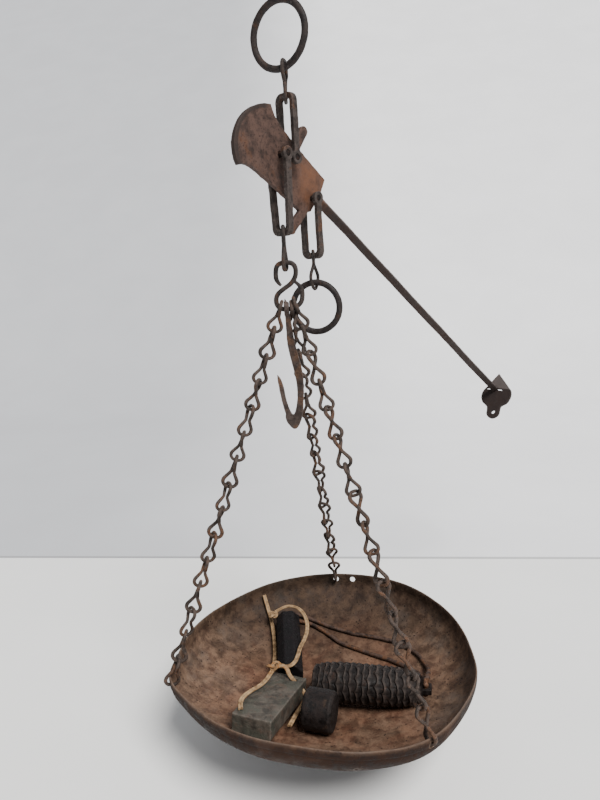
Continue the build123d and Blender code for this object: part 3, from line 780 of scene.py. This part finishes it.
# Forged parts
FINE = 1.0
for node, voxel, rounds, pit in (
    ("hand_ring", 0.45, 2, 0.12),
    ("lower_ring", 0.45, 2, 0.12),
    ("eye_link", 0.3, 2, 0.08),
    ("load_link", 0.3, 2, 0.08),
    ("top_shackle", 0.35, 3, 0.14),
    ("load_shackle", 0.35, 3, 0.14),
    ("second_shackle", 0.35, 3, 0.14),
    ("beam", 0.45, 2, 0.12),
    ("end_plate", 0.35, 2, 0.12),
    ("load_hook", 0.4, 3, 0.14),
    ("fulcrum_pin_upper", 0.3, 2, 0.05),
    ("load_pin", 0.3, 2, 0.05),
    ("fulcrum_pin_lower", 0.3, 2, 0.05),
    ("bar_weight", 0.6, 3, 0.18),
    ("block_weight", 0.6, 3, 0.22),
    ("cylinder_weight", 0.6, 3, 0.18),
):
    worn(node, voxel * FINE, rounds, pit)


def chain(name, azimuth):
    """Hand-bent links, each turned and sized a little differently, down to the bent rim."""
    whole = merged(frame["nodes"][name].data)
    links = [remeshed(mesh, 0.36 * FINE, 1) for mesh in islands(whole)]
    middles = [sum((vert.co for vert in mesh.vertices), Vector()) / len(mesh.vertices) for mesh in links]
    order = sorted(range(len(links)), key=lambda number: -middles[number].z)
    way = (middles[order[0]] - middles[order[-1]]).normalized()
    top = max(vert.co.z for mesh in links for vert in mesh.vertices)
    foot = min(vert.co.z for mesh in links for vert in mesh.vertices)
    out, lift = rim_bend(azimuth)
    angle = math.radians(azimuth)
    pull = (DISH.to_3x3() @ Vector((math.cos(angle), math.sin(angle), 0))) * out + Vector((0, 0, lift))
    for place, number in enumerate(order):
        free = 0 < place < len(order) - 1
        turn = math.radians(20 * math.sin(2.4 * place + azimuth)) if free else 0.0
        size = 1 + (0.05 * math.sin(3.7 * place + azimuth) if free else 0.0)
        spin = Matrix.Rotation(turn, 3, way) * size
        half = max(abs((vert.co - middles[number]).dot(way)) for vert in links[number].vertices)
        for vert in links[number].vertices:
            offset = vert.co - middles[number]
            along = offset.dot(way)
            rounder = 1 + 0.17 * math.sin(math.pi * min(1.0, abs(along) / half))
            offset = way * along + (offset - way * along) * rounder + vert.normal * 0.1 * MM
            spot = middles[number] + spin @ offset
            vert.co = spot + pull * MM * (top - spot.z) / (top - foot)
    mesh = joined(links)
    roughen(mesh, 0.06, 0.3)
    return dress(add_object(f"{name}_links", mesh), "dish", "chain_iron", name)


for name, azimuth in CHAIN_HOLES.items():
    chain(name, azimuth)


def tube(points, wire, ends=None):
    """A round bar along a smooth line, drawn down at its ends or else closed on itself."""
    data = bpy.data.curves.new("bar", "CURVE")
    data.dimensions = "3D"
    data.resolution_u = 12
    data.bevel_depth = wire / 2 * MM
    data.bevel_resolution = 5
    data.use_fill_caps = True
    line = data.splines.new("NURBS")
    line.points.add(len(points) - 1)
    for target, spot in zip(line.points, points):
        target.co = (*(Vector(spot) * MM), 1)
    if ends:
        line.points[0].radius = ends
        line.points[-1].radius = ends
    line.order_u = 3 if ends else 4
    line.use_endpoint_u = bool(ends)
    line.use_cyclic_u = not ends
    piece = add_object("bar", data)
    mesh = bpy.data.meshes.new_from_object(piece.evaluated_get(bpy.context.evaluated_depsgraph_get()))
    bpy.data.objects.remove(piece)
    return mesh


def s_hook():
    """The S-hook, both of its ends drawn down, with its points sideways and up from its lower bend."""
    line = [(-2.6, 14.6), (-5.4, 17.5), (-5.6, 22.5), (-4.6, 27.6), (1.0, 29.0), (6.6, 27.6)]
    line += [(7.4, 21.2), (4.4, 15.8), (-1.4, 12.4), (-5.9, 9.0), (-6.6, 4.0), (-4.6, 0.4)]
    line += [(0.4, -0.5), (5.6, 0.5), (9.6, 3.4), (10.6, 8.6), (9.8, 13.6), (6.4, 16.4)]
    low = (-7.38, -6.58, -175.11)
    wire = 3.1
    drawn_to = 0.6
    points = [(low[0] + x, low[1], low[2] + z) for x, z in line]
    mesh = remeshed(tube(points, wire, drawn_to), 0.32 * FINE, 1)
    roughen(mesh, 0.1, 0.0)
    return dress(add_object("s_hook_forged", mesh), "s_hook", "link_iron", "s_hook")


def twisted_link():
    """A closed wire, tight round the shackle's foot and open round the ring: height, half width, azimuth."""
    strand = [(-140.3, 2.4, 90), (-141.6, 4.8, 90), (-145.0, 4.8, 90), (-147.2, 2.2, 89), (-149.2, 0.9, 82)]
    strand += [(-152.6, 3.2, 64), (-156.4, 5.2, 58), (-160.4, 4.8, 64), (-163.2, 3.6, 70), (-164.6, 1.4, 70)]
    sides = strand + [(height, -width, azimuth) for height, width, azimuth in reversed(strand)]
    middle = 11.53
    wire = 2.2
    points = []
    for height, width, azimuth in sides:
        angle = math.radians(azimuth)
        points.append((middle + width * math.cos(angle), middle + width * math.sin(angle), height))
    mesh = remeshed(tube(points, wire), 0.28 * FINE, 1)
    roughen(mesh, 0.08, 0.0)
    return dress(add_object("twisted_link_forged", mesh), "twisted_link", "link_iron", "twisted_link")


s_hook()
twisted_link()


# Dish


def dish_profile():
    """Radius, height and whether it is inside, from the middle of the inside to that of the outside."""
    steps = 46
    below_band = 102.9
    line = []
    for step in range(steps):
        angle = math.radians(90 * (step + 0.4) / steps)
        line.append((DISH_BORE * math.sin(angle), -DISH_BAND - DISH_DEPTH_INSIDE * math.cos(angle), 1.0))
    line += [(DISH_BORE, -4.6, 1.0), (102.25, -2.4, 1.0), (DISH_BORE, -0.8, 1.0), (102.5, -0.15, 1.0)]
    line += [(102.9, 0.0, 0.8), (103.3, -0.15, 0.5), (DISH_RADIUS, -0.8, 0.3), (DISH_RADIUS, -2.6, 0.0)]
    line += [(103.45, -4.4, 0.0), (103.3, -5.1, 0.0), (102.85, -5.5, 0.0)]
    for step in reversed(range(steps)):
        angle = math.radians(90 * (step + 0.3) / steps)
        line.append((below_band * math.sin(angle), -DISH_BAND - DISH_DEPTH * math.cos(angle), 0.0))
    return line


def dish_mesh():
    """The bowl with its bent rim and shallow dents."""
    steps = 320
    profile = dish_profile()
    verts, inside = [], []
    for radius, height, share in profile:
        weight = (radius / DISH_RADIUS) ** 4
        for step in range(steps):
            angle = 2 * math.pi * step / steps
            out, lift = rim_bend(math.degrees(angle))
            reach = radius + weight * out
            level = height + weight * lift
            spot = Vector((reach * math.cos(angle), reach * math.sin(angle), level))
            dent = 0.16 * noise.noise(spot * (1 / 14)) + 0.05 * noise.noise(spot * (1 / 2.2))
            spot.z += dent
            verts.append(DISH @ (spot * MM))
            inside.append(share)
    rows = len(profile)
    faces = ring_faces(rows - 1, steps)
    for row, centre in ((0, -DISH_BAND - DISH_DEPTH_INSIDE), (rows - 1, -DISH_BAND - DISH_DEPTH)):
        verts.append(DISH @ Vector((0, 0, centre * MM)))
        inside.append(1.0 if row == 0 else 0.0)
        middle = len(verts) - 1
        for step in range(steps):
            after = (step + 1) % steps
            corner = (row * steps + step, row * steps + after)
            faces.append((middle, corner[1], corner[0]) if row == 0 else (middle, corner[0], corner[1]))
    return painted_mesh("dish", verts, faces, "inside", inside)


def cutter(place, radius, length):
    whole = bmesh.new()
    bmesh.ops.create_cone(
        whole,
        cap_ends=True,
        segments=24,
        radius1=radius * MM,
        radius2=radius * MM,
        depth=length * MM,
        matrix=place,
    )
    return add_object("cutter", as_mesh("cutter", whole))


def cut(piece, place, radius, length):
    """Bores a round hole through a piece."""
    tool = cutter(place, radius, length)
    modifier = piece.modifiers.new("cut", "BOOLEAN")
    modifier.operation = "DIFFERENCE"
    modifier.solver = "EXACT"
    modifier.object = tool
    bpy.context.view_layer.update()
    apply_modifiers(piece)
    bpy.data.objects.remove(tool)


RIM_HOLE_RADIUS = 2.3
RIM_HOLE_LENGTH = 10
RIM_HOLE_REACH = 103
RIM_HOLE_HEIGHT = -4.6


def bore_rim(piece, azimuth):
    """A hole through the bent rim at an azimuth."""
    out, lift = rim_bend(azimuth)
    spot = Vector((RIM_HOLE_REACH + out, 0, RIM_HOLE_HEIGHT + lift)) * MM
    place = DISH @ (Matrix.Rotation(math.radians(azimuth), 4, "Z") @ Matrix.Translation(spot))
    cut(piece, place @ Matrix.Rotation(math.radians(90), 4, "Y"), RIM_HOLE_RADIUS, RIM_HOLE_LENGTH)


dish = add_object("dish_sheet", dish_mesh())
for azimuth in (*CHAIN_HOLES.values(), SPARE_HOLE):
    bore_rim(dish, azimuth)
dress(dish, "dish", "dish_iron", "pan")


# Poise with rows of overlapping scales
POISE = (
    DISH
    @ Matrix.Translation(Vector((-10.5, -6.3, -24.6)) * MM)
    @ Matrix.Rotation(math.radians(-13.5), 4, "Z")
    @ Matrix.Rotation(math.radians(86.6), 4, "Y")
)
POISE_LENGTH = 77.0
POISE_RADIUS = 14.0
POISE_ROWS = 17
POISE_SCALES = 9
SCALE_DEPTH = 1.6
END_ROUNDING = 2.5


def crest(row, angle):
    """1 at the middle of a scale and 0 between two. Every second row is set off by half a scale."""
    return abs(math.sin(POISE_SCALES * angle / 2 + (row % 2) * math.pi / 2))


def lip(row, angle, stray):
    """Where a row of scales begins at an angle, in rows along the poise."""
    return row + stray + 0.42 * crest(row, angle) - 0.21


def poise_mesh():
    """A tapered body with rounded ends, under rows of scales that stray a little."""
    rings, steps = ((306, 264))
    verts, lip_highlight = [], []
    for ring in range(rings + 1):
        z = POISE_LENGTH * ring / rings
        along = z / POISE_LENGTH
        body = POISE_RADIUS * (1 - 0.26 * abs(2 * along - 1) ** 5 - 0.12 * along**3)
        from_end = min(1.0, min(z, POISE_LENGTH - z) / END_ROUNDING)
        end = min(1.0, math.sqrt(max(0.0, 1 - (1 - from_end) ** 2)) + 0.02)
        for step in range(steps):
            angle = 2 * math.pi * step / steps
            t = along * POISE_ROWS
            number = math.floor(t) + 1
            stray = 0.35 * noise.noise(Vector((1.3 * math.cos(angle), 1.3 * math.sin(angle), z / 9)))
            while lip(number, angle, stray) > t:
                number -= 1
            start = lip(number, angle, stray)
            share = (t - start) / (lip(number + 1, angle, stray) - start)
            rise = min(1.0, share / 0.2) * (1 - share) ** 0.6
            crown = crest(number, angle)
            radius = (body - SCALE_DEPTH + SCALE_DEPTH * rise * (0.65 + 0.35 * crown)) * end
            # Each vertex's share of the painted highlight on the raised lips of the scales.
            lip_highlight.append(max(0.0, rise - 0.55) * 2 * (0.3 + 0.7 * crown) if ring < rings else 0.0)
            spot = Vector((radius * math.cos(angle), radius * math.sin(angle), z))
            spot += spot.normalized() * 0.1 * noise.noise(spot * 0.6)
            verts.append(POISE @ (spot * MM))
    faces = ring_faces(rings, steps)
    for ring in (0, rings):
        faces.append([ring * steps + step for step in range(steps)])
    return painted_mesh("poise", verts, faces, "lip_highlight", lip_highlight)


dress(add_object("poise_scales", poise_mesh()), "poise", "poise_iron", "poise")

# The lug: its middle and its hole along the poise, its size and the hole's radius
LUG_MIDDLE = Vector((0, 0, 77.25))
LUG_HOLE = Vector((0, 0, 78.5))
LUG_SIZE = (4, 8, 10.5)
LUG_HOLE_RADIUS = 2.1


def bail():
    """The poise's wire bail, swollen with rust about the lug."""
    reach = 20
    piece = worn("poise_bail", 0.4 * FINE, 2, 0.14)
    eye = POISE @ (LUG_HOLE * MM)
    moves = []
    for vert in piece.data.vertices:
        near = max(0.0, 1 - (vert.co - eye).length / (reach * MM))
        lump = max(0.0, 0.35 + 1.6 * noise.noise(vert.co * (1 / (3.4 * MM))))
        moves.append(vert.co + vert.normal * lump * near * MM)
    for vert, spot in zip(piece.data.vertices, moves):
        vert.co = spot


bail()


def lug():
    """The flat lug at the poise's end, bored for its bail."""
    whole = bmesh.new()
    size = Matrix.Diagonal(Vector((*LUG_SIZE, 1 / MM)) * MM)
    bmesh.ops.create_cube(whole, size=1.0, matrix=POISE @ Matrix.Translation(LUG_MIDDLE * MM) @ size)
    piece = add_object("poise_lug", as_mesh("lug", whole))
    hole = POISE @ Matrix.Translation(LUG_HOLE * MM) @ Matrix.Rotation(math.radians(90), 4, "Y")
    cut(piece, hole, LUG_HOLE_RADIUS, 12)
    mesh = remeshed(piece.data.copy(), 0.4, 3)
    bpy.data.objects.remove(piece)
    roughen(mesh, 0.1, 0.0)
    return dress(add_object("poise_lug", mesh), "poise", "poise_iron")


lug()


# Floor, backdrop and light


def sheet_mesh(name, rows, left, right, start):
    """A smooth sheet through rows of two points, painted lighter from left to right as painted light, with a
    painted shadow line at start.
    """
    verts = [spot for row in rows for spot in row]
    faces = [(2 * row, 2 * row + 1, 2 * row + 3, 2 * row + 2) for row in range(len(rows) - 1)]
    mesh = bpy.data.meshes.new(name)
    mesh.from_pydata(verts, [], faces)
    mesh.polygons.foreach_set("use_smooth", [True] * len(faces))
    piece = add_object(name, mesh)
    shader = Shader(name, 0.85, 0.0, 0.2)
    # Painted light: the sheet is painted lighter towards the right, where the light falls stronger.
    base = shader.mix(shader.span(shader.along((0, 0, 0), (1, 0, 0)), -350.0, 350.0), left, right)
    shade = shader.span(shader.noise(160.0, 3.0), 0.3, 0.7, 0.96, 1.0)
    base = shader.mix(1.0, base, shade, "MULTIPLY")
    past = shader.along((0, start, 0), (0.1197, 0.9928, 0))
    # A painted shadow line a few mm past start, where the gap at the floor's edge lies in shade.
    shader.colour(shader.mix(shader.span(past, 3.0, 6.0, 0.6, 0.0), base, (0.2, 0.2, 0.2)))
    mesh.materials.append(shader.material)


def stage():
    """A pale floor, and beyond its edge a sheet that rises far behind the swinging dish, in metres."""
    gap = 0.0215
    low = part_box("pan")[0].z - gap
    edge = 0.2337
    turn = -0.1206
    no_line = -9000
    floor = [((-5, -5, low), (5, -5, low)), ((-5, edge - 5 * turn, low), (5, edge + 5 * turn, low))]
    # The floor is painted a little lighter towards the right: painted light.
    sheet_mesh("floor", floor, (0.86, 0.86, 0.85), (0.92, 0.92, 0.91), no_line)
    bend_start = 0.9
    bend_radius = 0.8
    slope = 38
    slope_length = 6
    steps = 12
    rows = []
    for step in range(steps + 1):
        angle = math.radians(slope * step / steps)
        rows.append((bend_start + bend_radius * math.sin(angle), bend_radius * (1 - math.cos(angle))))
    far = (rows[-1][0] + slope_length * math.cos(angle), rows[-1][1] + slope_length * math.sin(angle))
    rows = [(edge, 0.0), *rows, far]
    backdrop = [((-5, away - 5 * turn, low + rise), (5, away + 5 * turn, low + rise)) for away, rise in rows]
    # The backdrop is painted dark at the left and light at the right: painted light.
    sheet_mesh("backdrop", backdrop, (0.52, 0.53, 0.555), (0.92, 0.925, 0.945), 1000 * edge)


stage()


def sun(way, strength, spread, tint):
    """A soft sun that shines along a direction, spread over some degrees of sky."""
    data = bpy.data.lights.new("sun", "SUN")
    data.energy = strength
    data.angle = math.radians(spread)
    data.color = tint
    light = add_object("sun", data)
    light.rotation_euler = Vector(way).to_track_quat("-Z", "Y").to_euler()


sun(way=(-0.35, 0.45, -0.82), strength=5.3, spread=26, tint=(1.0, 0.985, 0.96))
world = bpy.data.worlds.new("world")
bpy.context.scene.world = world
world.use_nodes = True
background = world.node_tree.nodes["Background"]
background.inputs["Color"].default_value = (0.94, 0.965, 1.0, 1)
background.inputs["Strength"].default_value = 0.38
